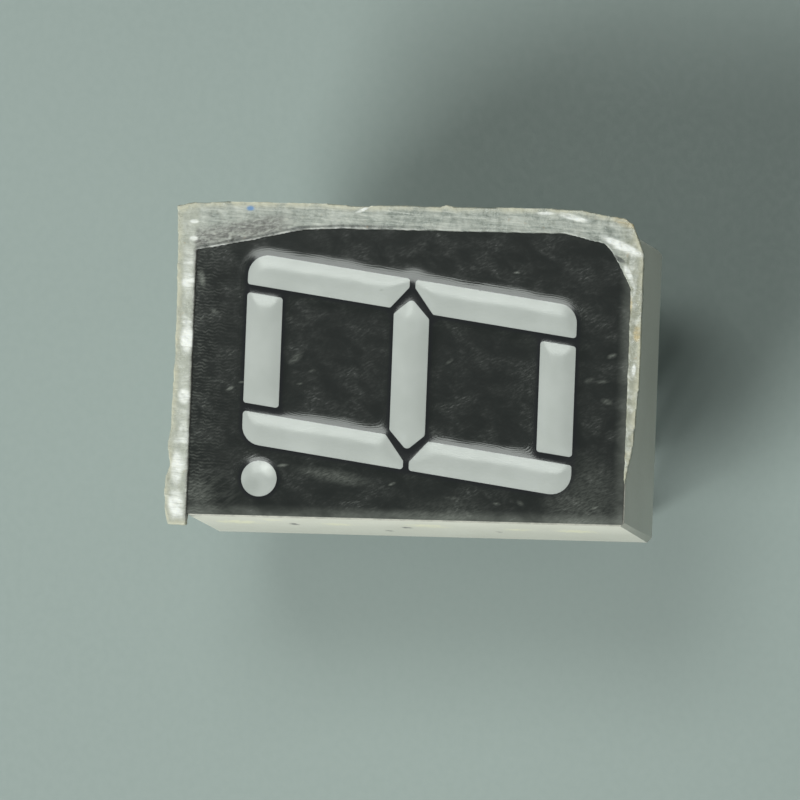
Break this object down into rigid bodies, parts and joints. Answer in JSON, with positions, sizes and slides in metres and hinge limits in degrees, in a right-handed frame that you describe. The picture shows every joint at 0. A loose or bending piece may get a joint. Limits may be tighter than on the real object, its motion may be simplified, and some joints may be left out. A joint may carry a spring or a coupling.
{
  "type": "led segment display",
  "caption": "Slanted single-digit seven-segment LED display with a decimal point, resin-potted, with two rows of pins and a ragged resin rim round its face.",
  "frame": {"origin": "centre of the ten-pin pattern on the seating plane, which is the shell's back rim", "axes": "+Z out of the face, +Y up the digit, +X to the digit's right; the pins point along -Z"},
  "size_m": [0.0139, 0.0203, 0.0141],
  "materials": {
    "shell": "moulded white, fine satin",
    "mask": "black layer under a thin skin of resin, semi-gloss",
    "resin": "milky cast resin, smooth",
    "flash": "cloudy striated resin, glossy in spots",
    "board": "bare laminate",
    "foil": "etched copper foil",
    "die": "polished semiconductor",
    "wire": "bright",
    "pin": "tinned steel",
    "solder": "dull solder"
  },
  "bodies": {
    "root": {"reflector_housing": "shell", "face_mask": "mask", "epoxy_casting": "resin", "epoxy_flash": "flash", "circuit_board": "board", "copper_tracks": "foil", "led_die_a": "die", "led_die_b": "die", "led_die_c": "die", "led_die_d": "die", "led_die_e": "die", "led_die_f": "die", "led_die_g": "die", "led_die_point": "die", "bond_wire_a": "wire", "bond_wire_b": "wire", "bond_wire_c": "wire", "bond_wire_d": "wire", "bond_wire_e": "wire", "bond_wire_f": "wire", "bond_wire_g": "wire", "bond_wire_point": "wire", "pin_1": "pin", "pin_2": "pin", "pin_3": "pin", "pin_4": "pin", "pin_5": "pin", "pin_6": "pin", "pin_7": "pin", "pin_8": "pin", "pin_9": "pin", "pin_10": "pin", "solder_joint_1": "solder", "solder_joint_2": "solder", "solder_joint_3": "solder", "solder_joint_4": "solder", "solder_joint_5": "solder", "solder_joint_6": "solder", "solder_joint_7": "solder", "solder_joint_8": "solder", "solder_joint_9": "solder", "solder_joint_10": "solder"}
  },
  "joints": []
}
